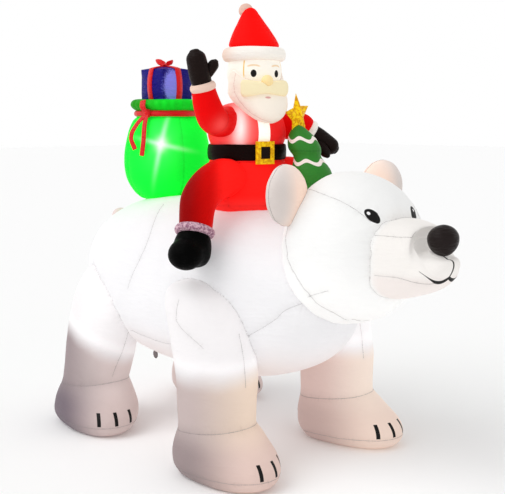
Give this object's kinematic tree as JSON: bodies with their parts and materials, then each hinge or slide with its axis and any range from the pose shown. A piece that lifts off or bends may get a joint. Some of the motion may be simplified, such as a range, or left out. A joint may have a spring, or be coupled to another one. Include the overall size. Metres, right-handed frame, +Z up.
{
  "type": "inflatable garden figure",
  "caption": "Inflatable garden figure: a waving Father Christmas rides a standing white bear, with a gift sack behind him and a little tree with a star at his side.",
  "frame": {"origin": "on the floor, under the middle of the figure's outline seen from above", "axes": "+X ahead, the way the bear faces; +Y to the bear's left; +Z up"},
  "size_m": [2.175, 1.1396, 1.9956],
  "materials": {
    "white_cloth": "white inflated nylon cloth",
    "cream_cloth": "cream inflated nylon cloth",
    "red_cloth": "red inflated nylon cloth",
    "black_cloth": "black inflated nylon cloth",
    "gold_cloth": "gold nylon cloth",
    "sack_cloth": "bright green inflated nylon cloth, lit from inside",
    "tree_cloth": "dark green inflated nylon cloth with pale garlands",
    "parcel_cloth": "blue glittery nylon cloth",
    "skin_cloth": "pale nylon cloth"
  },
  "bodies": {
    "root": {"bear_body": "white_cloth", "bear_ear_left": "white_cloth", "bear_ear_right": "white_cloth", "bear_front_leg_left": "white_cloth", "bear_front_leg_right": "white_cloth", "bear_head": "white_cloth", "bear_nose": "black_cloth", "bear_rear_leg_left": "white_cloth", "bear_rear_leg_right": "white_cloth", "bear_tail": "white_cloth", "belly_zip_tab": "black_cloth", "christmas_tree": "tree_cloth", "gift_parcel": "parcel_cloth", "gift_parcel_bow": "red_cloth", "gift_parcel_ribbon": "red_cloth", "gift_sack": "sack_cloth", "gift_sack_band": "red_cloth", "gift_sack_bow": "red_cloth", "gift_sack_collar": "sack_cloth", "santa_beard": "cream_cloth", "santa_belt": "black_cloth", "santa_boot_cuff_left": "cream_cloth", "santa_boot_cuff_right": "cream_cloth", "santa_boot_left": "black_cloth", "santa_boot_right": "black_cloth", "santa_buckle": "gold_cloth", "santa_coat": "red_cloth", "santa_hat": "red_cloth", "santa_hat_trim": "cream_cloth", "santa_head": "skin_cloth", "santa_hips": "red_cloth", "santa_leg_left": "red_cloth", "santa_leg_right": "red_cloth", "santa_mitten_left": "black_cloth", "santa_mitten_right": "black_cloth", "santa_moustache": "cream_cloth", "santa_nose": "skin_cloth", "santa_pompom": "cream_cloth", "santa_sleeve_cuff_left": "cream_cloth", "santa_sleeve_cuff_right": "cream_cloth", "santa_sleeve_left": "red_cloth", "santa_sleeve_right": "red_cloth", "tree_star": "gold_cloth"}
  },
  "joints": []
}
